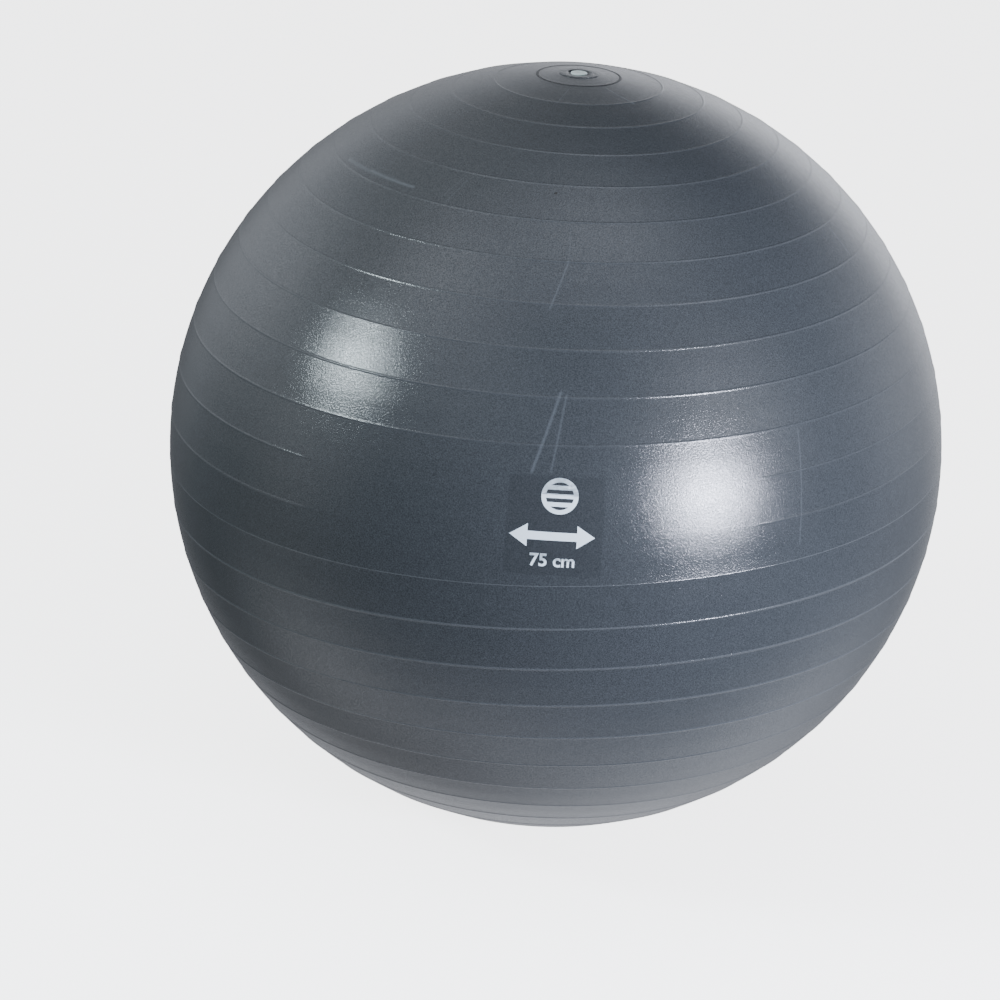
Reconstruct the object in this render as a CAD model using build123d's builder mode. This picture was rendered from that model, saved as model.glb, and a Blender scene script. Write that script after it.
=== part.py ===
"""A 75 cm exercise ball: one blown vinyl skin with moulded grip ribs, a valve seat bonded into its
crown, and the push-in air plug that closes the seat.

The frame has +Z up along the plug's axis and its origin in the middle of the flat patch that the
ball stands on. The printed side faces -Y. Lengths are in millimetres and angles in degrees.
"""

from build123d import *
import os
from math import asin, cos, degrees, exp, radians, sin, sqrt

# The inflated skin
ball_diameter = 750.0  # across the equator, between the ribs
height_share = 0.990  # a full ball is a little lower than it is wide
wall = 0.65  # the skin once it has stretched
crown_rise = 1.2  # the doubled skin round the valve stands this much prouder
crown_spread = 7.0  # angle from the plug's axis over which that dies away
foot_radius = 33.5  # the patch that the ball's own weight presses flat

# Grip ribs: beads round the plug's axis, with the mould's parting line at the equator
ribs_per_half = 13
rib_pitch = 6.565  # angle from rib to rib beside the equator
rib_crowding = 0.00062  # how much closer the ribs stand towards the poles
rib_width = 3.6
rib_height = 0.4
parting_width = 1.6
parting_height = 0.2
rib_root = 0.25  # how deep the broken ribs are sunk into the skin

# The print panel, where the mould leaves out some ribs on the -Y side
broken_ribs = (1, 2)  # counted up from the equator
panel_left = 38.3  # angle from -Y towards -X
panel_right = 30.2  # angle from -Y towards +X

# The valve seat, which clasps the edge of the skin's hole
hole_radius = 14.0
seat_disc_lap = 5.0  # how far the seat laps over the skin
seat_disc_rise = 0.6  # above the skin
seat_flange_lap = 8.0  # how far the seat laps under the skin
seat_flange_thickness = 1.2
seat_edge_radius = 0.25
dish_margin = 1.6  # round the plug's head, at the dish's floor
dish_flare = 2.0
dish_depth = 1.9
sleeve_tip_wall = 2.6
sleeve_top_wall = 5.2
sleeve_length = 22.0  # below the flange
sleeve_edge_radius = 0.8

# The air plug
head_radius = 7.8
head_thickness = 2.2
head_edge_radius = 0.7
dimple_radius = 3.0
dimple_floor_radius = 2.4
dimple_depth = 0.4
cone_radius = 6.2
cone_depth = 2.4
shank_radius = 3.75
shank_length = 15.0
shank_step = 0.8
tail_radius = 2.6
tail_end_radius = 2.2
tail_length = 26.0
tip_length = 4.0
tip_radius = 0.5
flute_count = 4
flute_radius = 0.8
flute_depth = 0.6
plug_clearance = 0.06  # sideways, between the plug's shank and cone and the seat
head_gap = 0.1  # between the plug's head and the floor of the seat's dish

# Worked out from the above
half_width = ball_diameter / 2
half_height = half_width * height_share
centre_height = half_height * sqrt(1 - (foot_radius / half_width) ** 2)
inner_foot_radius = foot_radius * (half_width - wall) / half_width


def skin_point(angle, inset=0.0):
    """A point of the skin's outline, at an angle from the plug's axis, inset towards the centre."""
    rise = crown_rise * exp(-((angle / crown_spread) ** 2))
    radius = (half_width - inset) * sin(radians(angle))
    height = centre_height + (half_height - inset) * cos(radians(angle)) + rise
    return radius, height


def skin_arc(first, last, inset=0.0):
    """One arc of the outline, between two angles from the plug's axis."""
    middle = (first + last) / 2
    ThreePointArc(skin_point(first, inset), skin_point(middle, inset), skin_point(last, inset))


def rib_angle(step):
    """The angle from the plug's axis of the rib that is so many steps up from the equator."""
    return 90 - rib_pitch * step + rib_crowding * step**3


def angle_over(width):
    """The angle that a width along the skin takes up."""
    return degrees(width / half_width)


def angle_at(radius, inset=0.0):
    """The angle at which the skin is at a radius from the plug's axis, near the crown."""
    return degrees(asin(radius / (half_width - inset)))


def bead_arc(angle, width, height):
    """A rounded bead across the outline, as one arc from foot to foot."""
    half = angle_over(width / 2)
    ThreePointArc(skin_point(angle - half), skin_point(angle, -height), skin_point(angle + half))


def side_plane(angle):
    """The upright plane that holds the plug's axis, turned from -Y towards +X by an angle."""
    across = Vector(sin(radians(angle)), -cos(radians(angle)), 0)
    return Plane(origin=(0, 0, 0), x_dir=across, z_dir=across.cross(Vector(0, 0, 1)))


# Every bead from the crown down. The broken ribs are plain bands here, and are raised afterwards.
beads = []
for step in range(ribs_per_half, -ribs_per_half - 1, -1):
    if step == 0:
        beads.append((rib_angle(step), parting_width, parting_height))
    elif step in broken_ribs:
        beads.append((rib_angle(step), rib_width, 0.0))
    else:
        beads.append((rib_angle(step), rib_width, rib_height))

# The inside of the skin is made of the same bands, so that the wall is even all the way down
bands = []
for angle, width, height in beads:
    bands += [angle - angle_over(width / 2), angle + angle_over(width / 2)]

hole_angle = angle_at(hole_radius)
disc_angle = angle_at(hole_radius + seat_disc_lap)
flange_angle = angle_at(hole_radius + seat_flange_lap, wall)
foot_angle = 180 - angle_at(foot_radius)
foot_middle = (bands[-1] + foot_angle) / 2

# The skin, as one turned outline with the unbroken ribs on it
with BuildPart() as ball_skin:
    with BuildSketch(Plane.XZ):
        with BuildLine():
            skin_arc(hole_angle, disc_angle)
            reached = disc_angle
            for angle, width, height in beads:
                skin_arc(reached, angle - angle_over(width / 2))
                bead_arc(angle, width, height)
                reached = angle + angle_over(width / 2)
            ThreePointArc(skin_point(reached), skin_point(foot_middle), (foot_radius, 0))
            Polyline((foot_radius, 0), (0, 0), (0, wall), (inner_foot_radius, wall))
            ThreePointArc(
                (inner_foot_radius, wall),
                skin_point(foot_middle, wall),
                skin_point(bands[-1], wall),
            )
            for lower, upper in zip(bands[::-1], bands[-2::-1]):
                skin_arc(lower, upper, wall)
            skin_arc(bands[0], flange_angle, wall)
            skin_arc(flange_angle, hole_angle, wall)
            Line(skin_point(hole_angle, wall), skin_point(hole_angle))
        make_face()
    revolve(axis=Axis.Z)
    # The broken ribs run from one side of the print panel round the back to the other
    for step in broken_ribs:
        upper = rib_angle(step) - angle_over(rib_width / 2)
        lower = rib_angle(step) + angle_over(rib_width / 2)
        with BuildSketch(side_plane(panel_right)):
            with BuildLine():
                bead_arc(rib_angle(step), rib_width, rib_height)
                Polyline(
                    skin_point(lower),
                    skin_point(lower, rib_root),
                    skin_point(upper, rib_root),
                    skin_point(upper),
                )
            make_face()
        revolve(axis=Axis.Z, revolution_arc=360 - panel_left - panel_right)
ball_skin.part.label = "ball_skin"

# The valve seat: a disc over the skin, a flange under it and a sleeve that points inwards
disc_edge, skin_at_disc = skin_point(disc_angle)
disc_top = skin_at_disc + seat_disc_rise
dish_top = skin_point(hole_angle)[1] + seat_disc_rise
dish_floor = dish_top - dish_depth
dish_floor_radius = head_radius + dish_margin
dish_radius = dish_floor_radius + dish_flare
flange_edge, flange_top = skin_point(flange_angle, wall)
flange_under = flange_top - seat_flange_thickness
sleeve_end = flange_under - sleeve_length
bore_radius = shank_radius + plug_clearance
bore_top_radius = cone_radius + plug_clearance

with BuildPart() as valve_seat:
    with BuildSketch(Plane.XZ):
        with BuildLine():
            skin_arc(hole_angle, disc_angle)
            FilletPolyline(
                (disc_edge, skin_at_disc),
                (disc_edge, disc_top),
                (dish_radius, dish_top),
                (dish_floor_radius, dish_floor),
                (bore_top_radius, dish_floor),
                radius=seat_edge_radius,
            )
            Polyline(
                (bore_top_radius, dish_floor),
                (bore_radius, dish_floor - cone_depth),
                (bore_radius, sleeve_end),
            )
            FilletPolyline(
                (bore_radius, sleeve_end),
                (bore_radius + sleeve_tip_wall, sleeve_end),
                (bore_radius + sleeve_top_wall, flange_under),
                (flange_edge, flange_under),
                (flange_edge, flange_top),
                radius=sleeve_edge_radius,
            )
            skin_arc(flange_angle, hole_angle, wall)
            Line(skin_point(hole_angle, wall), skin_point(hole_angle))
        make_face()
    revolve(axis=Axis.Z)
valve_seat.part.label = "valve_seat"

# The air plug: a flat head, a cone and shank that fill the bore, and a fluted tail to push in by
head_under = dish_floor + head_gap
head_top = head_under + head_thickness
shank_top = head_under - cone_depth
shank_end = shank_top - shank_length
tail_top = shank_end - shank_step
tail_end = tail_top - tail_length
tip_end = tail_end - tip_length

with BuildPart() as air_plug:
    with BuildSketch(Plane.XZ):
        with BuildLine():
            Polyline(
                (0, tip_end),
                (0, head_top - dimple_depth),
                (dimple_floor_radius, head_top - dimple_depth),
                (dimple_radius, head_top),
            )
            FilletPolyline(
                (dimple_radius, head_top),
                (head_radius, head_top),
                (head_radius, head_under),
                (cone_radius, head_under),
                radius=head_edge_radius,
            )
            Polyline(
                (cone_radius, head_under),
                (shank_radius, shank_top),
                (shank_radius, shank_end),
                (tail_radius, tail_top),
                (tail_end_radius, tail_end),
                (tip_radius, tip_end),
                (0, tip_end),
            )
        make_face()
    revolve(axis=Axis.Z)
    with BuildSketch(Plane.XY.offset(tail_top)):
        with PolarLocations(tail_radius + flute_radius - flute_depth, flute_count):
            Circle(flute_radius)
    extrude(amount=-(tail_length + tip_length), mode=Mode.SUBTRACT)
air_plug.part.label = "air_plug"

os.makedirs("parts", exist_ok=True)
export_step(ball_skin.part, "parts/ball_skin.step")
export_step(valve_seat.part, "parts/valve_seat.step")
export_step(air_plug.part, "parts/air_plug.step")
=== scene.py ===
"""The looks of a 75 cm exercise ball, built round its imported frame.

The ball stands on the floor with its air plug straight up (+Z) and its printed side towards -Y.
Lengths are in metres. Angles are turned into radians where Blender asks for them.
"""

import math

import bpy
import numpy as np
from bpy.props import FloatProperty, FloatVectorProperty, IntProperty, PointerProperty
from mathutils import Matrix, Vector


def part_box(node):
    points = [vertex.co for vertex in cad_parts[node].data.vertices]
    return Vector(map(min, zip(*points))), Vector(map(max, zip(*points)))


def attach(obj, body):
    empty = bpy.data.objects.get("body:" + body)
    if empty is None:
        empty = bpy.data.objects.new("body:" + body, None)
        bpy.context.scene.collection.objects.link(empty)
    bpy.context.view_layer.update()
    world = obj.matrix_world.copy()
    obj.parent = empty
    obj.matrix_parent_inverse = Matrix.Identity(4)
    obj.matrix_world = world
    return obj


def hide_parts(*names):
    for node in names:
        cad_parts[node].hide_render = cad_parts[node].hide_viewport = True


bl_info = {
    "name": "Exercise Ball",
    "version": (1, 0, 0),
    "blender": (4, 5, 0),
    "location": "View3D > Sidebar > Ball",
    "description": "Builds the ribbed skin, valve seat, air plug and print of an exercise ball",
    "category": "Add Mesh",
}

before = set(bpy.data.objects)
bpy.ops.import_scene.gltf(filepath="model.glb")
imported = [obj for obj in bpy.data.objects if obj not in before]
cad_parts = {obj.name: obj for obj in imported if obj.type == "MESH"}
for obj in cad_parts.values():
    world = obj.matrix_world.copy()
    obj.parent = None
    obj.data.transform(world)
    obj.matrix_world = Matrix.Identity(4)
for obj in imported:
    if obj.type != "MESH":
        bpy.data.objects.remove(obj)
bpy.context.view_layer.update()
SKIN_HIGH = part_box("ball_skin")[1]
SEAT_LOW, SEAT_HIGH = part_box("valve_seat")
PLUG_LOW, PLUG_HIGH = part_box("air_plug")

MM = 0.001
RIBS_PER_HALF = 13
RIB_CROWDING = 0.00062  # how much closer the ribs stand towards the poles, in degrees a step cubed
BROKEN_RIBS = (1, 2)  # steps up from the parting line


class BallSizes(bpy.types.PropertyGroup):
    """Sizes of the skin and its ribs."""

    half_width: FloatProperty(
        name="Half Width",
        description="From the plug's axis to the skin beside the parting line",
        default=SKIN_HIGH.x - 0.2 * MM,
        unit="LENGTH",
    )
    height_share: FloatProperty(
        name="Height Share",
        description="How high the full ball would be for its width, without its foot",
        default=0.990,
        subtype="FACTOR",
    )
    foot_radius: FloatProperty(
        name="Foot Radius",
        description="The patch that the ball's weight presses flat",
        default=33.5 * MM,
        unit="LENGTH",
    )
    wall: FloatProperty(
        name="Wall", description="Thickness of the skin", default=0.65 * MM, unit="LENGTH"
    )
    rib_pitch: FloatProperty(
        name="Rib Pitch",
        description="Angle from rib to rib beside the parting line",
        default=math.radians(6.565),
        subtype="ANGLE",
    )
    rib_width: FloatProperty(
        name="Rib Width", description="Across a rib, foot to foot", default=3.4 * MM, unit="LENGTH"
    )
    rib_height: FloatProperty(
        name="Rib Height", description="Of a rib over the skin", default=0.4 * MM, unit="LENGTH"
    )
    parting_width: FloatProperty(
        name="Parting Line Width", description="Of the mould's line", default=1.6 * MM, unit="LENGTH"
    )
    parting_height: FloatProperty(
        name="Parting Line Height", description="Over the skin", default=0.2 * MM, unit="LENGTH"
    )
    columns: IntProperty(
        name="Columns", description="Faces round the ball, away from the broken ribs", default=240
    )


class BallColours(bpy.types.PropertyGroup):
    """Colours of the vinyl, the plug, the ink and the floor."""

    vinyl: FloatVectorProperty(
        name="Vinyl", description="Skin and seat", default=(0.034, 0.0382, 0.0417), subtype="COLOR"
    )
    plug: FloatVectorProperty(
        name="Plug", description="Air plug", default=(0.55, 0.64, 0.62), subtype="COLOR"
    )
    ink: FloatVectorProperty(
        name="Ink", description="Print on the skin", default=(0.64, 0.73, 0.78), subtype="COLOR"
    )
    floor: FloatVectorProperty(
        name="Floor", description="Pale studio floor", default=(0.9, 0.9, 0.905), subtype="COLOR"
    )


# ---------------------------------------------------------------- places on the skin


def skin_centre():
    """Height of the middle of the ball's width."""
    size = bpy.context.scene.ball_sizes
    half_height = size.half_width * size.height_share
    return half_height * math.sqrt(1 - (size.foot_radius / size.half_width) ** 2)


CROWN_RISE = 1.2 * MM  # the doubled skin round the valve stands this much prouder
CROWN_SPREAD = 7.0  # degrees from the plug's axis over which that dies away


def skin_point(angle, rise=0.0):
    """(radius, height) on the skin's outline, at degrees from the plug's axis, risen off it."""
    size = bpy.context.scene.ball_sizes
    turn = math.radians(angle)
    crown = CROWN_RISE * math.exp(-((angle / CROWN_SPREAD) ** 2))
    radius = (size.half_width + rise) * math.sin(turn)
    height = (size.half_width * size.height_share + rise) * math.cos(turn) + skin_centre() + crown
    return radius, height


def rib_angle(step):
    """Degrees from the plug's axis of the rib that is so many steps up from the parting line."""
    pitch = math.degrees(bpy.context.scene.ball_sizes.rib_pitch)
    return 90 - pitch * step + RIB_CROWDING * step**3


def angle_at(radius):
    """Degrees from the plug's axis at which the upper skin reaches a radius."""
    return math.degrees(math.asin(radius / bpy.context.scene.ball_sizes.half_width))


# How the blown skin pulls its rings out of true, all in degrees
DIP, DIP_MIDDLE, DIP_ABOVE, DIP_BELOW = 3.46, 103, 40.0, 33.0
UPPER_SAG = (1.4, 57, 21)  # how far, where it is greatest and how far it spreads
LOWER_SAG = (0.65, 108, 13)


def pull(angle, most, middle, spread):
    """A pull that is greatest at one angle and dies away to both sides of it."""
    return most * np.exp(-(((angle - middle) / spread) ** 2))


def lean_across(angle):
    """How far the ring at an angle dips on its left side, where the skin has stretched unevenly."""
    spread = np.where(angle < DIP_MIDDLE, DIP_ABOVE, DIP_BELOW)
    return -pull(angle, DIP, DIP_MIDDLE, spread)


def lean_ahead(angle):
    """How much lower a ring runs at the front of the ball than at its sides."""
    return pull(angle, *UPPER_SAG) - pull(angle, *LOWER_SAG)


def leaned(angle, azimuth):
    """Where a ring's point lies once the blown skin has pulled it out of true, in degrees."""
    side = np.sin(np.radians(azimuth))
    ahead = np.cos(np.radians(azimuth)) - 1
    return angle + lean_across(angle) * side + lean_ahead(angle) * ahead


# ---------------------------------------------------------------- modelling by operators


SEAM_GAP = 0.001 * MM  # vertices this close at a seam or a pole are one
OUTLINE_GAP = 0.01 * MM  # the same, where a flat outline closes


def deselect():
    if bpy.context.object and bpy.context.object.mode != "OBJECT":
        bpy.ops.object.mode_set(mode="OBJECT")
    bpy.ops.object.select_all(action="DESELECT")


def make_active(piece):
    deselect()
    piece.select_set(True)
    bpy.context.view_layer.objects.active = piece


def draw_outline(name, points):
    """A line of joined vertices, drawn from one vertex by extruding it from point to point.

    The new piece is left in edit mode.
    """
    deselect()
    bpy.ops.mesh.primitive_plane_add(size=MM, location=(0, 0, 0))
    piece = bpy.context.object
    piece.name = piece.data.name = name
    bpy.ops.object.mode_set(mode="EDIT")
    bpy.ops.mesh.select_mode(type="VERT")
    bpy.ops.mesh.select_all(action="SELECT")
    bpy.ops.mesh.merge(type="CENTER")
    bpy.ops.transform.translate(value=points[0])
    for here, there in zip(points, points[1:]):
        bpy.ops.mesh.extrude_vertices_move(
            TRANSFORM_OT_translate={"value": [b - a for a, b in zip(here, there)]}
        )
    return piece


def turn_outline(turns):
    """Spins the drawn outline round the plug's axis, by one (degrees, steps) after another."""
    bpy.ops.mesh.select_all(action="SELECT")
    for degrees, steps in turns:
        bpy.ops.mesh.spin(
            steps=steps, angle=math.radians(degrees), center=(0, 0, 0), axis=(0, 0, 1)
        )


def close_turned(piece):
    """Joins the seam and the poles of a turned piece and turns its faces outwards."""
    bpy.ops.mesh.select_all(action="SELECT")
    bpy.ops.mesh.remove_doubles(threshold=SEAM_GAP)
    bpy.ops.mesh.normals_make_consistent(inside=False)
    bpy.ops.object.mode_set(mode="OBJECT")
    make_active(piece)
    bpy.ops.object.shade_smooth()


def places(piece):
    """Every vertex's place, as an array."""
    at = np.empty(len(piece.data.vertices) * 3)
    piece.data.vertices.foreach_get("co", at)
    return at.reshape(-1, 3)


def put_places(piece, at):
    """Moves every vertex to its place in an array."""
    piece.data.vertices.foreach_set("co", at.ravel())
    piece.data.update()


def finish_piece(piece, body, material, slot, *nodes):
    """Gives a piece its material and fixes it to its body, in place of any CAD nodes named."""
    piece.data.materials.clear()
    piece.data.materials.append(material)
    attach(piece, body)
    if nodes:
        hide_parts(*nodes)


# ---------------------------------------------------------------- materials


class Nodes:
    """A new material's node tree, with short ways to add nodes and join them."""

    def __init__(self, name=None, tree=None):
        if name:
            self.material = bpy.data.materials.new(name)
            self.material.use_nodes = True
            tree = self.material.node_tree
            self.shader = tree.nodes["Principled BSDF"]
        self.tree = tree
        coordinates = self.add("ShaderNodeTexCoord")
        self.place, self.way = coordinates.outputs["Object"], coordinates.outputs["Generated"]

    def add(self, kind, **settings):
        node = self.tree.nodes.new(kind)
        for key, value in settings.items():
            if hasattr(node, key):
                setattr(node, key, value)
            else:
                node.inputs[key.replace("_", " ")].default_value = value
        return node

    def join(self, source, target):
        self.tree.links.new(source, target)

    def set(self, **values):
        for key, value in values.items():
            self.shader.inputs[key.replace("_", " ")].default_value = value

    def math(self, operation, first, second=0.0, third=0.0):
        node = self.add("ShaderNodeMath", operation=operation)
        for socket, value in zip(node.inputs, (first, second, third)):
            if isinstance(value, bpy.types.NodeSocket):
                self.join(value, socket)
            else:
                socket.default_value = value
        return node.outputs[0]

    def vector(self, operation, first, second=(0, 0, 0)):
        node = self.add("ShaderNodeVectorMath", operation=operation)
        sockets = (node.inputs[0], node.inputs["Scale" if operation == "SCALE" else 1])
        for socket, value in zip(sockets, (first, second)):
            if isinstance(value, bpy.types.NodeSocket):
                self.join(value, socket)
            else:
                socket.default_value = value
        return node.outputs["Value" if operation in ("DOT_PRODUCT", "LENGTH") else "Vector"]

    def noise(self, scale, detail=2.0, roughness=0.5):
        node = self.add("ShaderNodeTexNoise", Scale=scale, Detail=detail, Roughness=roughness)
        self.join(self.place, node.inputs["Vector"])
        return node.outputs["Fac"]

    def remap(self, value, low, high, to_low=0.0, to_high=1.0, smooth=False):
        kind = "SMOOTHSTEP" if smooth else "LINEAR"
        node = self.add("ShaderNodeMapRange", interpolation_type=kind)
        self.join(value, node.inputs["Value"])
        for key, number in (
            ("From Min", low),
            ("From Max", high),
            ("To Min", to_low),
            ("To Max", to_high),
        ):
            node.inputs[key].default_value = number
        return node.outputs["Result"]

    def mix(self, share, first, second, clamp=True):
        node = self.add("ShaderNodeMix", data_type="RGBA", clamp_factor=clamp)
        self.join(share, node.inputs[0])
        for socket, value in ((node.inputs[6], first), (node.inputs[7], second)):
            if isinstance(value, bpy.types.NodeSocket):
                self.join(value, socket)
            else:
                socket.default_value = (*value[:3], 1)
        return node.outputs[2]

    def stain(self, share, strength, colour):
        """Mixes a colour into the vinyl's own, where and as far as a share says."""
        self.base = self.mix(self.math("MULTIPLY", share, strength), self.base, colour)

    def noted(self, name):
        """A number that the mesh holds at each vertex."""
        return self.add("ShaderNodeAttribute", attribute_name=name).outputs["Fac"]

    def between(self, value, low, high, edge):
        """1 from low to high, with soft edges."""
        risen = self.remap(value, low - edge, low + edge)
        return self.math("MULTIPLY", risen, self.remap(value, high - edge, high + edge, 1.0, 0.0))

    def bump(self, height, distance, normal=None):
        node = self.add("ShaderNodeBump", Strength=1.0, Distance=distance)
        self.join(height, node.inputs["Height"])
        if normal is not None:
            self.join(normal, node.inputs["Normal"])
        return node.outputs["Normal"]


# Patterns in the vinyl, by noise cells a metre
CLOUDS, SWELLS, GLOSS_PATCHES, MOTTLES = 3.2, 9.0, 14.0, 70.0
PEBBLES, FLECKS, PORES = 800.0, 820.0, 1600.0
PORE_SHARE = 0.35
GRAIN_DEPTH = 0.15 * MM
SWELL_DEPTH = 0.25 * MM
VINYL_ROUGHNESS, ROUGHNESS_SWING = 0.175, 0.03
VINYL_GLOSS = 0.5  # the pebbles' tops are glossier than this, and the pores between them duller


def vinyl_grain(nodes):
    """The fine pebbled grain that the mould gives the skin, about 2 mm from pebble to pebble."""
    pebbles = nodes.noise(PEBBLES, 1.5, 0.5)
    pores = nodes.noise(PORES, 2.0, 0.6)
    return nodes.math("MULTIPLY_ADD", pores, PORE_SHARE, pebbles)


def vinyl(name):
    """Blown vinyl: clouded colour, uneven gloss and a pebbled grain. Returns its nodes."""
    nodes = Nodes(name)
    colour = bpy.context.scene.ball_colours.vinyl
    cloud = nodes.remap(nodes.noise(CLOUDS, 3.0, 0.55), 0.35, 0.65)
    nodes.base = nodes.mix(cloud, [c * 0.93 for c in colour], [c * 1.06 for c in colour])
    mottle = nodes.remap(nodes.noise(MOTTLES, 4.0, 0.6), 0.3, 0.7)
    nodes.stain(mottle, 0.3, [c * 1.2 for c in colour])
    fleck = nodes.remap(nodes.noise(FLECKS, 2.5, 0.6), 0.3, 0.7, 0.65, 1.35)
    nodes.base = nodes.vector("SCALE", nodes.base, fleck)
    low, high = VINYL_ROUGHNESS - ROUGHNESS_SWING, VINYL_ROUGHNESS + ROUGHNESS_SWING
    nodes.roughness = nodes.remap(nodes.noise(GLOSS_PATCHES, 4.0, 0.6), 0.3, 0.7, low, high)
    nodes.grain = vinyl_grain(nodes)
    tops = nodes.remap(nodes.grain, 0.5, 0.85, VINYL_GLOSS * 0.5, VINYL_GLOSS * 1.5)
    nodes.join(tops, nodes.shader.inputs["Specular IOR Level"])
    nodes.set(IOR=1.5)
    return nodes


def finish_vinyl(nodes):
    """Joins the vinyl's colour, gloss and grain to its shader."""
    nodes.join(nodes.base, nodes.shader.inputs["Base Color"])
    nodes.join(nodes.roughness, nodes.shader.inputs["Roughness"])
    grained = nodes.bump(nodes.grain, GRAIN_DEPTH)
    swollen = nodes.bump(nodes.noise(SWELLS, 2.0, 0.5), SWELL_DEPTH, grained)
    nodes.join(swollen, nodes.shader.inputs["Normal"])
    return nodes.material


def skin_place(angle, azimuth):
    """A point of the bare skin, at degrees from the plug's axis and from -Y towards +X."""
    radius, height = skin_point(angle)
    turn = math.radians(azimuth)
    return Vector((radius * math.sin(turn), -radius * math.cos(turn), height))


def near_line(nodes, chart, start, end, half_width):
    """1 along a line between two (angle, azimuth) places, fading to its sides and its ends."""
    narrow = math.sin(math.radians((start[0] + end[0]) / 2))
    start, end = (Vector((azimuth * narrow, angle, 0)) for angle, azimuth in (start, end))
    along = end - start
    scaled = nodes.vector("MULTIPLY", chart, (narrow, 1, 0))
    apart = nodes.vector("SUBTRACT", scaled, start)
    share = nodes.math("DIVIDE", nodes.vector("DOT_PRODUCT", apart, along), along.length_squared)
    held = nodes.math("MINIMUM", nodes.math("MAXIMUM", share, 0.0), 1.0)
    off = nodes.vector("LENGTH", nodes.vector("SUBTRACT", apart, nodes.vector("SCALE", along, held)))
    width = math.degrees(half_width / bpy.context.scene.ball_sizes.half_width)
    side = nodes.remap(off, 0.0, width, 1.0, 0.0, smooth=True)
    middle = nodes.math("MULTIPLY", nodes.math("SUBTRACT", 1.0, held), held)
    return nodes.math("MULTIPLY", side, nodes.remap(middle, 0.0, 0.06, smooth=True))


WELD_INNER, WELD_INNER_FULL = 11.0 * MM, 12.5 * MM  # radii where the puckers start and are full
WELD_OUTER_FULL, WELD_OUTER = 16.5 * MM, 19.5 * MM  # and where they start to fade and are gone
PUCKERS, PUCKER_HEIGHT = 230.0, 2.4  # noise cells a metre, and height against the grain's


def seat_material():
    """The seat's vinyl, puckered where it is welded to the skin round the plug."""
    nodes = vinyl("seat_vinyl")
    across = nodes.vector("LENGTH", nodes.vector("MULTIPLY", nodes.place, (1, 1, 0)))
    weld = nodes.math(
        "MULTIPLY",
        nodes.remap(across, WELD_INNER, WELD_INNER_FULL),
        nodes.remap(across, WELD_OUTER_FULL, WELD_OUTER, 1.0, 0.0),
    )
    pucker = nodes.remap(nodes.noise(PUCKERS, 2.0, 0.6), 0.42, 0.58, smooth=True)
    puckers = nodes.math("MULTIPLY", pucker, weld)
    nodes.grain = nodes.math("MULTIPLY_ADD", puckers, PUCKER_HEIGHT, nodes.grain)
    return finish_vinyl(nodes)


# marks left by folding and handling, the first two a painted sheen streak: (angle, azimuth) to
# (angle, azimuth), half width in mm, share
FOLD_AND_SHEEN_MARKS = (
    # these two paint a sheen streak, not a fold
    ((36.7, -70), (36.2, -46), 3.6, 0.45),
    ((36.3, -58), (36.3, -40.3), 2.6, 0.75),
    ((32.2, -28.2), (37.8, -30.8), 1.4, 0.22),
    ((31.8, -29.6), (36.8, -32.4), 1.2, 0.18),
    ((38.6, -0.4), (44.9, -0.45), 1.3, 0.12),
    ((43.7, -0.3), (51.9, -3.4), 1.5, 0.38),
    ((62.6, -0.3), (74.6, -4.0), 2.4, 0.5),
    ((62.9, 0.5), (74.2, -1.2), 1.8, 0.35),
    ((6.6, 33.3), (13.0, 39.2), 1.2, 0.8),
    ((7.2, -11.0), (12.2, -14.1), 1.1, 0.35),
    ((44.0, 66.2), (49.0, 66.8), 1.2, 0.5),
    ((69.0, 37.1), (86.5, 36.2), 1.2, 0.3),
)
SPECK = (32.93, -4.7)
SPECK_RADII = (0.7 * MM, 1.9 * MM)  # full black, and faded out
PRINT_SIDES = (-6.86, 6.4)  # azimuths of the left and right of the print's ground
PRINT_ENDS = (88.44, 74.57)  # angles of its foot and top
PRINT_EDGE = 0.9 * MM
# lighter: the vinyl whitened along folds, and a painted sheen
FOLD_AND_SHEEN_PAINT = (0.12, 0.135, 0.15)
# painted highlight on the ribs' crests and slopes
RIB_PAINTED_HIGHLIGHT = (0.12, 0.13, 0.138)
# dirt and painted shade at the ribs' feet
DIRT_AND_PAINTED_SHADE = (0.006, 0.007, 0.008)
BLACK = (0.006, 0.006, 0.006)


def print_ground(nodes, azimuth, height):
    """1 on the faint rectangle where the printer's screen lay."""
    left, right = (math.radians(side) for side in PRINT_SIDES)
    foot, top = (skin_place(end, 0).z for end in PRINT_ENDS)
    edge = PRINT_EDGE / bpy.context.scene.ball_sizes.half_width
    across = nodes.between(azimuth, left, right, edge)
    return nodes.math("MULTIPLY", across, nodes.between(height, foot, top, PRINT_EDGE))


def skin_chart(nodes, azimuth, height):
    """(azimuth, angle from the plug's axis) at every point of the skin, in degrees."""
    share = bpy.context.scene.ball_sizes.height_share
    across = nodes.vector("LENGTH", nodes.vector("MULTIPLY", nodes.place, (1, 1, 0)))
    above = nodes.math("MULTIPLY_ADD", height, 1 / share, -skin_centre() / share)
    chart = nodes.add("ShaderNodeCombineXYZ")
    nodes.join(nodes.math("DEGREES", azimuth), chart.inputs["X"])
    nodes.join(nodes.math("DEGREES", nodes.math("ARCTAN2", across, above)), chart.inputs["Y"])
    return chart.outputs[0]


def fold_and_sheen_marks(nodes, chart):
    """Each mark's share along it, and nothing elsewhere."""
    marks = 0.0
    for start, end, half_width, share in FOLD_AND_SHEEN_MARKS:
        line = near_line(nodes, chart, start, end, half_width * MM)
        marks = nodes.math("MAXIMUM", marks, nodes.math("MULTIPLY", line, share))
    return marks


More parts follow.
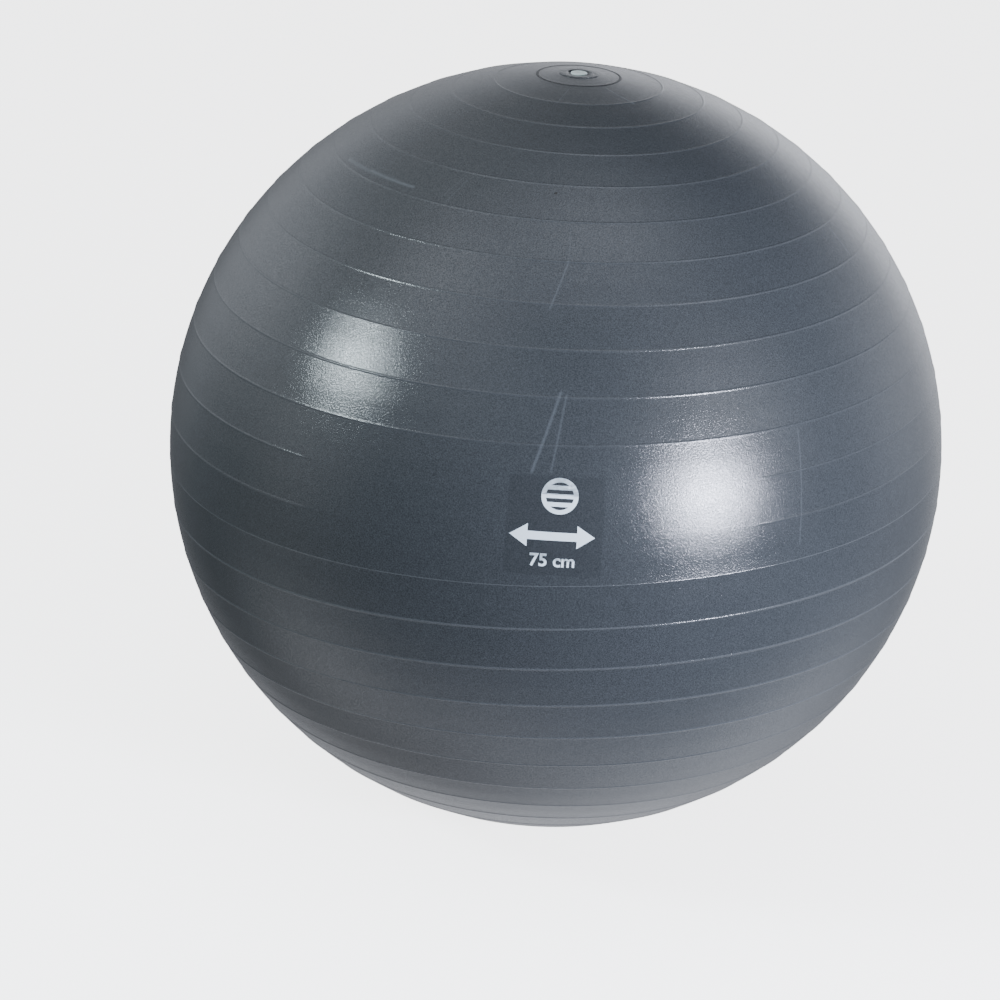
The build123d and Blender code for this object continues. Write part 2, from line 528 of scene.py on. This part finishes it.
def skin_material():
    """The skin's vinyl with its fold marks, a painted sheen streak, painted shade and highlights
    along the ribs, its one speck and the smoother ground of the print.
    """
    nodes = vinyl("skin_vinyl")
    apart = nodes.add("ShaderNodeSeparateXYZ")
    nodes.join(nodes.place, apart.inputs[0])
    x, y, height = apart.outputs
    azimuth = nodes.math("ARCTAN2", x, nodes.math("MULTIPLY", y, -1.0))
    ground = print_ground(nodes, azimuth, height)
    nodes.stain(ground, 0.3, [c * 0.6 for c in bpy.context.scene.ball_colours.vinyl])
    nodes.grain = nodes.math("MULTIPLY", nodes.grain, nodes.remap(ground, 0.0, 1.0, 1.0, 0.45))
    # lighter along the fold marks, and a painted sheen streak from the first two
    nodes.stain(fold_and_sheen_marks(nodes, skin_chart(nodes, azimuth, height)), 0.6, FOLD_AND_SHEEN_PAINT)
    foot = nodes.noted("rib_foot_dirt_and_shade")
    # dirt and painted shade darken the ribs' feet, and paint the ring nearest the valve dark all
    # across
    nodes.stain(foot, 0.42, DIRT_AND_PAINTED_SHADE)
    nodes.roughness = nodes.math("MULTIPLY_ADD", foot, 0.15, nodes.roughness)
    # painted highlight along the ribs' crests and one slope of each
    nodes.stain(nodes.noted("rib_painted_highlight"), 0.3, RIB_PAINTED_HIGHLIGHT)
    off = nodes.vector("LENGTH", nodes.vector("SUBTRACT", nodes.place, skin_place(*SPECK)))
    nodes.stain(nodes.remap(off, *SPECK_RADII, 1.0, 0.0, smooth=True), 1.0, BLACK)
    return finish_vinyl(nodes)


PLUG_CLOUDS, PLUG_SHEEN, PLUG_PITS = 260.0, 900.0, 1500.0  # patches a metre
PLUG_SCRATCHES = 0.02 * MM
PLUG_MILKINESS = 2.0 * MM  # how deep light goes into the plug
INK_WEAR, INK_SHEEN = 420.0, 300.0
INK_GRAIN = 0.02 * MM


def plug_material():
    """The plug's soft, slightly milky polythene."""
    nodes = Nodes("plug_polythene")
    colour = bpy.context.scene.ball_colours.plug
    cloud = nodes.remap(nodes.noise(PLUG_CLOUDS, 3.0, 0.5), 0.35, 0.65)
    base = nodes.mix(cloud, [c * 0.93 for c in colour], colour)
    nodes.join(base, nodes.shader.inputs["Base Color"])
    rough = nodes.remap(nodes.noise(PLUG_SHEEN, 2.0, 0.6), 0.3, 0.7, 0.3, 0.42)
    nodes.join(rough, nodes.shader.inputs["Roughness"])
    scratched = nodes.bump(nodes.noise(PLUG_PITS, 3.0, 0.6), PLUG_SCRATCHES)
    nodes.join(scratched, nodes.shader.inputs["Normal"])
    nodes.set(
        IOR=1.51,
        Subsurface_Weight=0.5,
        Subsurface_Radius=(1.0, 1.1, 1.0),
        Subsurface_Scale=PLUG_MILKINESS,
    )
    return nodes.material


def ink_material():
    """The print's pale ink, a little worn, which shows the skin's grain through it."""
    nodes = Nodes("print_ink")
    colour = bpy.context.scene.ball_colours.ink
    wear = nodes.remap(nodes.noise(INK_WEAR, 5.0, 0.7), 0.25, 0.75)
    base = nodes.mix(wear, [c * 0.93 for c in colour], colour)
    nodes.join(base, nodes.shader.inputs["Base Color"])
    rough = nodes.remap(nodes.noise(INK_SHEEN, 3.0, 0.6), 0.3, 0.7, 0.4, 0.5)
    nodes.join(rough, nodes.shader.inputs["Roughness"])
    nodes.join(nodes.bump(vinyl_grain(nodes), INK_GRAIN), nodes.shader.inputs["Normal"])
    nodes.set(IOR=1.48)
    return nodes.material


# ---------------------------------------------------------------- the pieces


# Across a rib: (share of its half width, share of its height), from the upper foot to the lower
BEAD_SHAPE = (
    (-1.0, 0.0),
    (-0.72, 0.06),
    (-0.4, 0.48),
    (0.0, 1.0),
    (0.4, 0.48),
    (0.72, 0.06),
    (1.0, 0.0),
)
PARTING_SHAPE = ((-1.0, 0.0), (-0.45, 0.25), (0.0, 1.0), (0.45, 0.25), (1.0, 0.0))
HOLE_RADIUS = 14.0 * MM
# The skin round the valve: (radius, rise) in mm, with a low welded line round the seat
CROWN_POINTS = ((14, 0), (17, 0), (20.2, 0), (21.2, 0.1), (22.2, 0), (27, 0), (33, 0))
RIB_ENDS_LEFT = {1: -38.06, 2: -38.6}  # azimuth from -Y towards +X, by rib
RIB_ENDS_RIGHT = {1: 30.23, 2: 30.26}
RIB_RUN_OUT = 0.5  # degrees over which a broken rib sinks into the skin at its end
# The azimuths round the panel, and the fine columns in the span at each end of them
FINE_FROM, FINE_TO, FINE_SPAN, FINE_COLUMNS = -41.0, 32.5, 5.0, 10
INNER_RINGS, INNER_FOOT = 44, 172  # rings inside the skin, and the angle of the lowest


def outer_outline():
    """(radius, height) down the outside of the skin, from the valve hole to the foot."""
    size = bpy.context.scene.ball_sizes
    points = [skin_point(angle_at(radius * MM), rise * MM) for radius, rise in CROWN_POINTS]
    reached = angle_at(CROWN_POINTS[-1][0] * MM)
    for step in range(RIBS_PER_HALF, -RIBS_PER_HALF - 1, -1):
        width, height, shape = size.rib_width, size.rib_height, BEAD_SHAPE
        if step == 0:
            width, height, shape = size.parting_width, size.parting_height, PARTING_SHAPE
        half = math.degrees(width / 2 / size.half_width)
        middle = rib_angle(step)
        gap = middle - half - reached
        cuts = 2 if gap > 3 else 0
        points += [skin_point(reached + gap * (c + 1) / (cuts + 1)) for c in range(cuts)]
        points += [skin_point(middle + part * half, share * height) for part, share in shape]
        reached = middle + half
    foot = 180 - angle_at(size.foot_radius)
    for share in (0.35, 0.7, 0.92):  # closer together where the skin turns under
        points.append(skin_point(reached + (foot - reached) * share))
    points += [(size.foot_radius, 0.0), (size.foot_radius * 0.5, 0.0), (0.0, 0.0)]
    return points


def inner_outline():
    """(radius, height) up the inside of the skin, from the foot to the valve hole."""
    size = bpy.context.scene.ball_sizes
    inner_foot = size.foot_radius * (1 - size.wall / size.half_width)
    points = [(0.0, size.wall), (inner_foot, size.wall)]
    top = angle_at(HOLE_RADIUS)
    for ring in range(INNER_RINGS + 1):
        angle = INNER_FOOT + (top - INNER_FOOT) * ring / INNER_RINGS
        points.append(skin_point(angle, -size.wall))
    return points


class BALL_OT_skin(bpy.types.Operator):
    """Build the blown skin: its ribs, parting line, print panel and resting patch"""

    bl_idname = "ball.skin"
    bl_label = "Ball Skin"

    def execute(self, context):
        size = context.scene.ball_sizes
        outline = outer_outline() + inner_outline()
        outline.append(outline[0])
        start = math.radians(FINE_FROM - 90)
        points = [(r * math.cos(start), r * math.sin(start), z) for r, z in outline]
        skin = draw_outline("ball_skin_blown", points)
        around = 360 / size.columns
        ends = (FINE_SPAN, FINE_COLUMNS)
        panel = FINE_TO - FINE_FROM - 2 * FINE_SPAN
        rest = 360 - (FINE_TO - FINE_FROM)
        turn_outline((ends, (panel, round(panel / around)), ends, (rest, round(rest / around))))
        close_turned(skin)
        self.settle(skin, size)
        finish_piece(skin, "ball", skin_material(), "skin", "ball_skin")
        return {"FINISHED"}

    @staticmethod
    def settle(skin, size):
        """Ends the broken ribs at the print panel and pulls the rings out of true."""
        at = places(skin)
        centre = skin_centre()
        half_height = size.half_width * size.height_share
        across = np.hypot(at[:, 0], at[:, 1])
        azimuth = np.degrees(np.arctan2(at[:, 0], -at[:, 1]))
        wide, high = across / size.half_width, (at[:, 2] - centre) / half_height
        angle = np.degrees(np.arctan2(wide, high))
        length = np.hypot(wide, high)
        outside = length > 1 - size.wall / size.half_width / 2
        for step in BROKEN_RIBS:
            past_left = np.clip((azimuth - RIB_ENDS_LEFT[step]) / RIB_RUN_OUT, 0, 1)
            past_right = np.clip((RIB_ENDS_RIGHT[step] - azimuth) / RIB_RUN_OUT, 0, 1)
            sunk = 1 - past_left * past_right
            near = outside & (abs(angle - rib_angle(step)) < 0.5)
            length[near] = 1 + (length[near] - 1) * sunk[near]
        BALL_OT_skin.note_rib_dirt_shade_and_highlight(skin, angle, azimuth, outside, size)
        free = (angle > 3) & (angle < 174)  # the valve's rim and the foot stay where they are
        turned = np.where(free, leaned(angle, azimuth), angle)
        moved = np.radians(turned)
        reach = length * np.sin(moved) * size.half_width
        at[free, 0] = (reach * np.sin(np.radians(azimuth)))[free]
        at[free, 1] = (-reach * np.cos(np.radians(azimuth)))[free]
        at[free, 2] = (centre + length * np.cos(moved) * half_height)[free]
        put_places(skin, at)

    @staticmethod
    def wear(step):
        """How much dirt and painted shade a rib's feet get, how much painted highlight its crest
        gets, and the side whose slope also gets that painted highlight: 1 below its crest.
        """
        # the ring nearest the valve: painted shade over its feet and crest, a dark line in place of
        # its shading
        if step == RIBS_PER_HALF:
            return 1.7, 0.0, 1
        if step > 0:
            return 0.35, 0.4, 1
        return 0.15, 1.0 if step > -5 else 0.5, -1

    @staticmethod
    def note_rib_dirt_shade_and_highlight(skin, angle, azimuth, outside, size):
        """Notes on the mesh the dirt and painted shade at the feet of the ribs, a painted dark line
        all across the ring nearest the valve, and the painted highlight on the ribs' crests and one
        slope.
        """
        foot, pale = np.zeros(len(angle)), np.zeros(len(angle))
        for step in range(-RIBS_PER_HALF, RIBS_PER_HALF + 1):
            width = size.rib_width if step else size.parting_width
            below = (angle - rib_angle(step)) / math.degrees(width / 2 / size.half_width)
            off = abs(below)
            kept = outside.copy()
            if step in BROKEN_RIBS:
                left, right = RIB_ENDS_LEFT[step] + 0.2, RIB_ENDS_RIGHT[step] - 0.2
                kept &= ~((azimuth > left) & (azimuth < right))
            dirt_and_shade, painted_highlight, side = BALL_OT_skin.wear(step)
            # dirt and painted shade in the creases at each rib's feet
            foot[kept & (off > 0.6) & (off < 0.85)] = dirt_and_shade
            # the ring nearest the valve is painted dark all across, as shade
            if step == RIBS_PER_HALF:
                foot[kept & (off < 0.5)] = dirt_and_shade
            # painted highlight along each crest, and on the slope towards the side given
            pale[kept & (off < 0.2)] = painted_highlight
            pale[kept & (off < 0.85) & (below * side > 0.2)] = painted_highlight * 0.8
        for name, values in (("rib_foot_dirt_and_shade", foot), ("rib_painted_highlight", pale)):
            noted = skin.data.attributes.new(name, "FLOAT", "POINT")
            noted.data.foreach_set("value", values)


SEAT_DISC = 19.0 * MM
SEAT_DISC_RISE = 0.6 * MM
FLANGE_DROP = 2.75 * MM  # from the disc's top to the flange's underside
DISH_DEPTH = 1.9 * MM
BORE_TOP, BORE = 6.26 * MM, 3.81 * MM
CONE_FOOT = 4.3 * MM  # from the disc's top down to where the bore is at its narrowest
TURNED_STEPS = 96  # faces round the seat and the plug


class BALL_OT_seat(bpy.types.Operator):
    """Build the valve seat: its disc, the dish round the plug and the inward sleeve"""

    bl_idname = "ball.seat"
    bl_label = "Valve Seat"

    def execute(self, context):
        top, flange = SEAT_HIGH.z, SEAT_HIGH.x
        skin_top = top - SEAT_DISC_RISE
        skin_at_disc = skin_point(angle_at(SEAT_DISC))[1]
        under = top - FLANGE_DROP
        outline = [
            # the disc, from the edge of the skin's hole out and back in
            (HOLE_RADIUS, skin_top),
            (SEAT_DISC, skin_at_disc),
            (SEAT_DISC, skin_at_disc + 0.3 * MM),
            (SEAT_DISC - 0.15 * MM, skin_at_disc + 0.42 * MM),
            (SEAT_DISC - 0.6 * MM, skin_at_disc + 0.5 * MM),
            (17.0 * MM, skin_top + 0.36 * MM),
            (14.6 * MM, top - 0.12 * MM),
            (12.6 * MM, top - 0.03 * MM),
            # the dish round the plug's head
            (11.8 * MM, top - 0.06 * MM),
            (11.3 * MM, top - 0.22 * MM),
            (10.6 * MM, top - 0.9 * MM),
            (9.8 * MM, top - 1.7 * MM),
            (9.4 * MM, top - DISH_DEPTH + 0.02 * MM),
            (8.9 * MM, top - DISH_DEPTH),
            # the bore and the sleeve round it
            (BORE_TOP, top - DISH_DEPTH),
            (BORE, top - CONE_FOOT),
            (BORE, SEAT_LOW.z),
            (BORE + 1.8 * MM, SEAT_LOW.z),
            (BORE + 2.6 * MM, SEAT_LOW.z + 0.8 * MM),
            (9.0 * MM, under - 0.6 * MM),
            (9.7 * MM, under),
            # the flange under the skin
            (flange - 0.4 * MM, under),
            (flange, under + 0.4 * MM),
            (flange, under + 1.1 * MM),
            (HOLE_RADIUS - 0.02 * MM, skin_top - 0.66 * MM),
            (HOLE_RADIUS, skin_top),
        ]
        seat = draw_outline("valve_seat_moulded", [(r, 0, z) for r, z in outline])
        turn_outline(((360, TURNED_STEPS),))
        close_turned(seat)
        bpy.ops.object.shade_smooth_by_angle(angle=math.radians(40))
        finish_piece(seat, "ball", seat_material(), "seat", "valve_seat")
        return {"FINISHED"}


SHANK = 3.75 * MM
TAIL_DROP = 21.0 * MM  # from the head's top down to where the flutes begin
FLUTES, FLUTE_SHARE = 4, 0.24  # how many, and how much of the tail's radius they take
TIP = 4.0 * MM


class BALL_OT_plug(bpy.types.Operator):
    """Build the air plug: its dimpled head, cone, shank and fluted tail"""

    bl_idname = "ball.plug"
    bl_label = "Air Plug"

    def execute(self, context):
        top, tip = PLUG_HIGH.z, PLUG_LOW.z
        head = PLUG_HIGH.x
        outline = [
            # the dimple and the head
            (0, top - 0.4 * MM),
            (2.2 * MM, top - 0.38 * MM),
            (2.8 * MM, top - 0.12 * MM),
            (3.3 * MM, top - 0.02 * MM),
            (head - 1.2 * MM, top),
            (head - 0.5 * MM, top - 0.14 * MM),
            (head - 0.12 * MM, top - 0.5 * MM),
            (head, top - 1.0 * MM),
            (head - 0.1 * MM, top - 1.6 * MM),
            (head - 0.5 * MM, top - 2.05 * MM),
            (head - 1.1 * MM, top - 2.2 * MM),
            # the cone and the shank
            (6.2 * MM, top - 2.2 * MM),
            (SHANK, top - 4.6 * MM),
            (SHANK, top - 19.5 * MM),
            (SHANK - 0.15 * MM, top - 19.75 * MM),
            # the tail, tapering to its tip
            (2.6 * MM, top - 20.4 * MM),
            (2.6 * MM, top - 21.5 * MM),
            (2.5 * MM, top - 28.0 * MM),
            (2.4 * MM, top - 34.0 * MM),
            (2.3 * MM, top - 40.0 * MM),
            (2.2 * MM, tip + TIP),
            (1.35 * MM, tip + 2.0 * MM),
            (0.55 * MM, tip + 0.2 * MM),
            (0.3 * MM, tip),
            (0, tip),
        ]
        plug = draw_outline("air_plug_moulded", [(r, 0, z) for r, z in outline])
        turn_outline(((360, TURNED_STEPS),))
        close_turned(plug)
        self.cut_flutes(plug, top, tip)
        make_active(plug)
        bpy.ops.object.shade_smooth_by_angle(angle=math.radians(35))
        finish_piece(plug, "plug", plug_material(), "plug", "air_plug")
        return {"FINISHED"}

    @staticmethod
    def cut_flutes(plug, top, tip):
        """Draws the tail in along its flutes, less and less towards the tip."""
        at = places(plug)
        tail = at[:, 2] < top - TAIL_DROP
        turn = np.arctan2(at[:, 1], at[:, 0])
        flute = np.clip(np.cos(FLUTES * turn), 0, 1) ** 1.5
        depth = np.clip((at[:, 2] - tip) / TIP, 0, 1) * FLUTE_SHARE
        shrink = 1 - flute * depth
        at[tail, :2] *= shrink[tail, None]
        put_places(plug, at)


# ---------------------------------------------------------------- the print


INK_LIFT = 0.04 * MM  # the film's underside off the skin
INK_DEPTH = 0.05 * MM
INK_PITCH = 3.0 * MM  # the strips that let the film bend
SIGN_RADIUS, SIGN_RING = 16.4 * MM, 4.0 * MM
SIGN_HOLE = 13.2  # within this radius lie the sign's gaps and bars, in mm
SIGN_BARS = ((-9.6, -5.6), (-2.0, 2.0), (5.6, 9.6))  # each from its foot to its top, in mm
ARROW_HALF, ARROW_HEAD, ARROW_BAR, ARROW_TALL = 38 * MM, 16 * MM, 3.8 * MM, 10.5 * MM
TEXT_HEIGHT, TEXT_BOLDNESS = 16.5 * MM, 0.35 * MM
# Where each middle lies: degrees from the plug's axis, and azimuth
SIGN_PLACE, ARROW_PLACE, TEXT_PLACE = (77.2, 0.3), (82.8, -0.45), (86.3, -0.25)


def lay_on_skin(piece, angle, azimuth):
    """Wraps a flat shape, drawn round the origin facing -Y, onto the skin at a place on it."""
    size = bpy.context.scene.ball_sizes
    at = places(piece)
    girth = size.half_width * math.sin(math.radians(angle))
    turn = np.radians(azimuth) + at[:, 0] / girth
    rest = np.degrees(at[:, 2] / size.half_width)
    fall = np.radians(angle - rest)
    lift = size.half_width + INK_LIFT + np.where(at[:, 1] < 0, INK_DEPTH, 0.0)
    reach = lift * np.sin(fall)
    high = lift * size.height_share * np.cos(fall)
    out = np.stack([reach * np.sin(turn), -reach * np.cos(turn), skin_centre() + high], axis=1)
    put_places(piece, out)


def slice_flat(piece, reach):
    """Cuts a flat shape into narrow strips both ways, so that it can bend."""
    make_active(piece)
    bpy.ops.object.mode_set(mode="EDIT")
    for normal in ((1, 0, 0), (0, 0, 1)):
        for cut in np.arange(-reach, reach, INK_PITCH):
            bpy.ops.mesh.select_all(action="SELECT")
            bpy.ops.mesh.bisect(plane_co=[n * cut for n in normal], plane_no=normal)
    bpy.ops.object.mode_set(mode="OBJECT")


def thicken_flat(piece):
    """Gives a flat shape facing -Y the ink's thickness."""
    make_active(piece)
    bpy.ops.object.mode_set(mode="EDIT")
    bpy.ops.mesh.select_all(action="SELECT")
    bpy.ops.mesh.remove_doubles(threshold=OUTLINE_GAP)
    bpy.ops.mesh.select_all(action="SELECT")
    bpy.ops.mesh.extrude_region_move(TRANSFORM_OT_translate={"value": (0, -INK_DEPTH, 0)})
    bpy.ops.mesh.select_all(action="SELECT")
    bpy.ops.mesh.normals_make_consistent(inside=False)
    bpy.ops.object.mode_set(mode="OBJECT")


def finish_print(piece, reach, angle, azimuth):
    """Makes a flat shape that reaches so far from the origin into ink on the skin."""
    slice_flat(piece, reach)
    thicken_flat(piece)
    lay_on_skin(piece, angle, azimuth)
    make_active(piece)
    bpy.ops.object.shade_smooth_by_angle(angle=math.radians(30))
    material = bpy.data.materials.get("print_ink") or ink_material()
    finish_piece(piece, "ball", material, None)


class BALL_OT_print(bpy.types.Operator):
    """Print a plain ball sign, a width arrow and the ball's size on the front"""

    bl_idname = "ball.print"
    bl_label = "Print"

    def execute(self, context):
        self.ball_sign()
        self.width_arrow()
        self.size_text()
        return {"FINISHED"}

    @staticmethod
    def ball_sign():
        """A ring with three bars across it, for a ribbed ball."""
        deselect()
        bpy.ops.mesh.primitive_circle_add(
            vertices=64, radius=SIGN_RADIUS, fill_type="NGON", rotation=(math.pi / 2, 0, 0)
        )
        ring = bpy.context.object
        ring.name = ring.data.name = "print_ball_sign"
        bpy.ops.object.transform_apply(location=True, rotation=True, scale=True)
        bpy.ops.object.mode_set(mode="EDIT")
        bpy.ops.mesh.select_all(action="SELECT")
        bpy.ops.mesh.inset(thickness=SIGN_RING)
        for cut in (edge for bar in SIGN_BARS for edge in bar):
            bpy.ops.mesh.select_all(action="SELECT")
            bpy.ops.mesh.bisect(plane_co=(0, 0, cut * MM), plane_no=(0, 0, 1))
        bpy.ops.object.mode_set(mode="OBJECT")
        corners = ring.data.vertices
        for face in ring.data.polygons:
            reach = max(math.hypot(*corners[v].co.xz) for v in face.vertices) / MM
            on_bar = any(low < face.center.z / MM < high for low, high in SIGN_BARS)
            face.select = reach < SIGN_HOLE and not on_bar
        bpy.ops.object.mode_set(mode="EDIT")
        bpy.ops.mesh.select_mode(type="FACE")
        bpy.ops.mesh.delete(type="FACE")
        bpy.ops.mesh.select_mode(type="VERT")
        bpy.ops.object.mode_set(mode="OBJECT")
        finish_print(ring, 20 * MM, *SIGN_PLACE)

    @staticmethod
    def width_arrow():
        """A bar with an arrowhead at each end, as wide as the size is read across."""
        half, neck, bar, tall = ARROW_HALF, ARROW_HALF - ARROW_HEAD, ARROW_BAR, ARROW_TALL
        points = [(-half, 0), (-neck, tall), (-neck, bar), (neck, bar), (neck, tall)]
        points += [(half, 0), (neck, -tall), (neck, -bar), (-neck, -bar), (-neck, -tall)]
        arrow = draw_outline("print_width_arrow", [(x, 0, z) for x, z in points + points[:1]])
        bpy.ops.mesh.select_all(action="SELECT")
        bpy.ops.mesh.remove_doubles(threshold=OUTLINE_GAP)
        bpy.ops.mesh.select_all(action="SELECT")
        bpy.ops.mesh.edge_face_add()
        bpy.ops.object.mode_set(mode="OBJECT")
        finish_print(arrow, 42 * MM, *ARROW_PLACE)

    @staticmethod
    def size_text():
        """The ball's size."""
        deselect()
        bpy.ops.object.text_add(location=(0, 0, 0), rotation=(math.pi / 2, 0, 0))
        text = bpy.context.object
        text.name = "print_size"
        text.data.body = "75 cm"
        text.data.size = TEXT_HEIGHT
        text.data.offset = TEXT_BOLDNESS
        text.data.align_x, text.data.align_y = "CENTER", "CENTER"
        text.data.resolution_u = 8
        bpy.ops.object.convert(target="MESH")
        text = bpy.context.object
        text.data.name = "print_size"
        bpy.ops.object.transform_apply(location=True, rotation=True, scale=True)
        finish_print(text, 30 * MM, *TEXT_PLACE)


# ---------------------------------------------------------------- the studio


SKY_TINT = (0.95, 0.98, 1.06)
FLOOR_RADIUS, FLOOR_GLOW = 30.0, 3.2
EYE_LIFT = 20.5  # degrees that the camera looks down
EYE_ROLL = 3.4
EYE_REACH = 10.0  # the camera's distance, in half widths of the ball
SENSOR = 36.0
LENS_SHARE = 3.841  # focal length over the sensor's width
AIM_X, AIM_Y = 0.0552, 0.0556  # the ball's middle, right of and above the view's, in view widths

# Lamps: azimuth from -Y towards +X, lift, distance, width, power, colour
KEY_RIGHT = (41.5, 4.8, 2.35, 0.68, 131.9, (0.9, 0.95, 1.14))
FILL_LEFT = (-67.2, 25.9, 2.31, 0.45, 33.0, (0.87, 1.02, 1.08))

# Soft boards round the ball: azimuth from -Y towards +X, lift, spread in degrees, level
SKY_BOARDS = (
    (-36, -75, 14, 1.05),
    (108, -75, 14, 0.9),
    (-180, -50, 14, 1.2),
    (-90, -50, 14, 1.3),
    (120, -50, 14, 1.15),
    (-140, 5, 14, 0.6),
    (-80, 5, 14, 1.1),
    (120, 5, 14, 1.1),
    (160, 5, 14, 2.2),
    (-160, 20, 14, 0.65),
    (-116, 20, 14, 1.5),
    (53, 20, 14, 2.8),
    (-36, 35, 14, 0.7),
    (-144, 55, 14, 0.65),
    (-72, 55, 14, 2.0),
    (60, 80, 14, 1.8),
)


def direction(azimuth, lift):
    """Away from the ball, by azimuth from -Y towards +X and lift over the level."""
    turn, up = math.radians(azimuth), math.radians(lift)
    return Vector((math.sin(turn) * math.cos(up), -math.cos(turn) * math.cos(up), math.sin(up)))


def light_panel(name, azimuth, lift, reach, width, power, tint):
    """A round lamp that faces the ball's middle."""
    way = direction(azimuth, lift)
    deselect()
    middle = Vector((0, 0, skin_centre()))
    bpy.ops.object.light_add(type="AREA", location=middle + way * reach)
    lamp = bpy.context.object
    lamp.name = lamp.data.name = name
    lamp.data.shape = "DISK"
    lamp.data.size = width
    lamp.data.energy = power
    lamp.data.color = tint
    lamp.rotation_euler = way.to_track_quat("Z", "Y").to_euler()


class BALL_OT_studio(bpy.types.Operator):
    """Set up the pale floor, the soft lights and the camera"""

    bl_idname = "ball.studio"
    bl_label = "Studio"

    def execute(self, context):
        self.floor()
        self.sky()
        light_panel("key_right", *KEY_RIGHT)
        light_panel("fill_left", *FILL_LEFT)
        self.camera()
        return {"FINISHED"}

    @staticmethod
    def floor():
        """A wide pale floor that glows a little, so that it stays bright to its far edge."""
        deselect()
        bpy.ops.mesh.primitive_circle_add(vertices=96, radius=FLOOR_RADIUS, fill_type="NGON")
        floor = bpy.context.object
        floor.name = floor.data.name = "studio_floor"
        nodes = Nodes("floor_paint")
        tone = nodes.remap(nodes.noise(1.5, 2.0, 0.5), 0.3, 0.7)
        colour = bpy.context.scene.ball_colours.floor
        paint = nodes.mix(tone, [c * 0.99 for c in colour], colour)
        nodes.join(paint, nodes.shader.inputs["Base Color"])
        nodes.set(Roughness=0.9, Emission_Color=(1, 1, 1, 1), Emission_Strength=FLOOR_GLOW)
        floor.data.materials.append(nodes.material)
        # the boards light the ball from all round, so the floor takes no part in that
        floor.visible_glossy = floor.visible_diffuse = floor.visible_shadow = False

    @staticmethod
    def sky():
        """A dark room with soft boards round the ball, each a glow about its own direction."""
        world = bpy.data.worlds.new("studio_sky")
        bpy.context.scene.world = world
        world.use_nodes = True
        nodes = Nodes(tree=world.node_tree)
        total = 0.0
        for azimuth, lift, spread, level in SKY_BOARDS:
            facing = nodes.vector("DOT_PRODUCT", nodes.way, direction(azimuth, lift))
            tight = 1 / math.radians(spread) ** 2
            glow = nodes.math("EXPONENT", nodes.math("MULTIPLY_ADD", facing, tight, -tight))
            total = nodes.math("MULTIPLY_ADD", glow, level, total)
        colour = nodes.mix(total, (0, 0, 0), SKY_TINT, clamp=False)
        nodes.join(colour, world.node_tree.nodes["Background"].inputs["Color"])

    @staticmethod
    def camera():
        """Looks down at the print from the front, with the ball a little right of the middle."""
        size = bpy.context.scene.ball_sizes
        lift, roll = math.radians(EYE_LIFT), math.radians(EYE_ROLL)
        aim = Vector((0, math.cos(lift), -math.sin(lift)))
        level = Vector((1, 0, 0))
        over = level.cross(aim)
        side = level * math.cos(roll) + over * math.sin(roll)
        rise = over * math.cos(roll) - level * math.sin(roll)
        reach = EYE_REACH * size.half_width
        place = Vector((0, 0, skin_centre())) - aim * reach
        place -= (side * AIM_X + rise * AIM_Y) * reach / LENS_SHARE
        bpy.ops.object.camera_add(location=place)
        eye = bpy.context.object
        eye.name = eye.data.name = "studio_camera"
        eye.data.sensor_width = SENSOR
        eye.data.lens = SENSOR * LENS_SHARE
        eye.rotation_euler = Matrix((side, rise, -aim)).transposed().to_euler()
        bpy.context.scene.camera = eye


class BALL_PT_panel(bpy.types.Panel):
    """Lists the ball's sizes, colours and build steps"""

    bl_label = "Exercise Ball"
    bl_space_type = "VIEW_3D"
    bl_region_type = "UI"
    bl_category = "Ball"

    def draw(self, context):
        layout = self.layout
        for group in (context.scene.ball_sizes, context.scene.ball_colours):
            box = layout.box()
            for name in group.__annotations__:
                box.prop(group, name)
        for step in STEPS:
            layout.operator(step.bl_idname)


STEPS = (BALL_OT_skin, BALL_OT_seat, BALL_OT_plug, BALL_OT_print, BALL_OT_studio)
CLASSES = (BallSizes, BallColours, *STEPS, BALL_PT_panel)


def register():
    for kind in CLASSES:
        bpy.utils.register_class(kind)
    bpy.types.Scene.ball_sizes = PointerProperty(type=BallSizes)
    bpy.types.Scene.ball_colours = PointerProperty(type=BallColours)


def unregister():
    del bpy.types.Scene.ball_colours
    del bpy.types.Scene.ball_sizes
    for kind in reversed(CLASSES):
        bpy.utils.unregister_class(kind)


def main():
    """Builds the ball and its studio."""
    register()
    bpy.ops.ball.skin()
    bpy.ops.ball.seat()
    bpy.ops.ball.plug()
    bpy.ops.ball.print()
    bpy.ops.ball.studio()


if __name__ == "__main__":
    main()
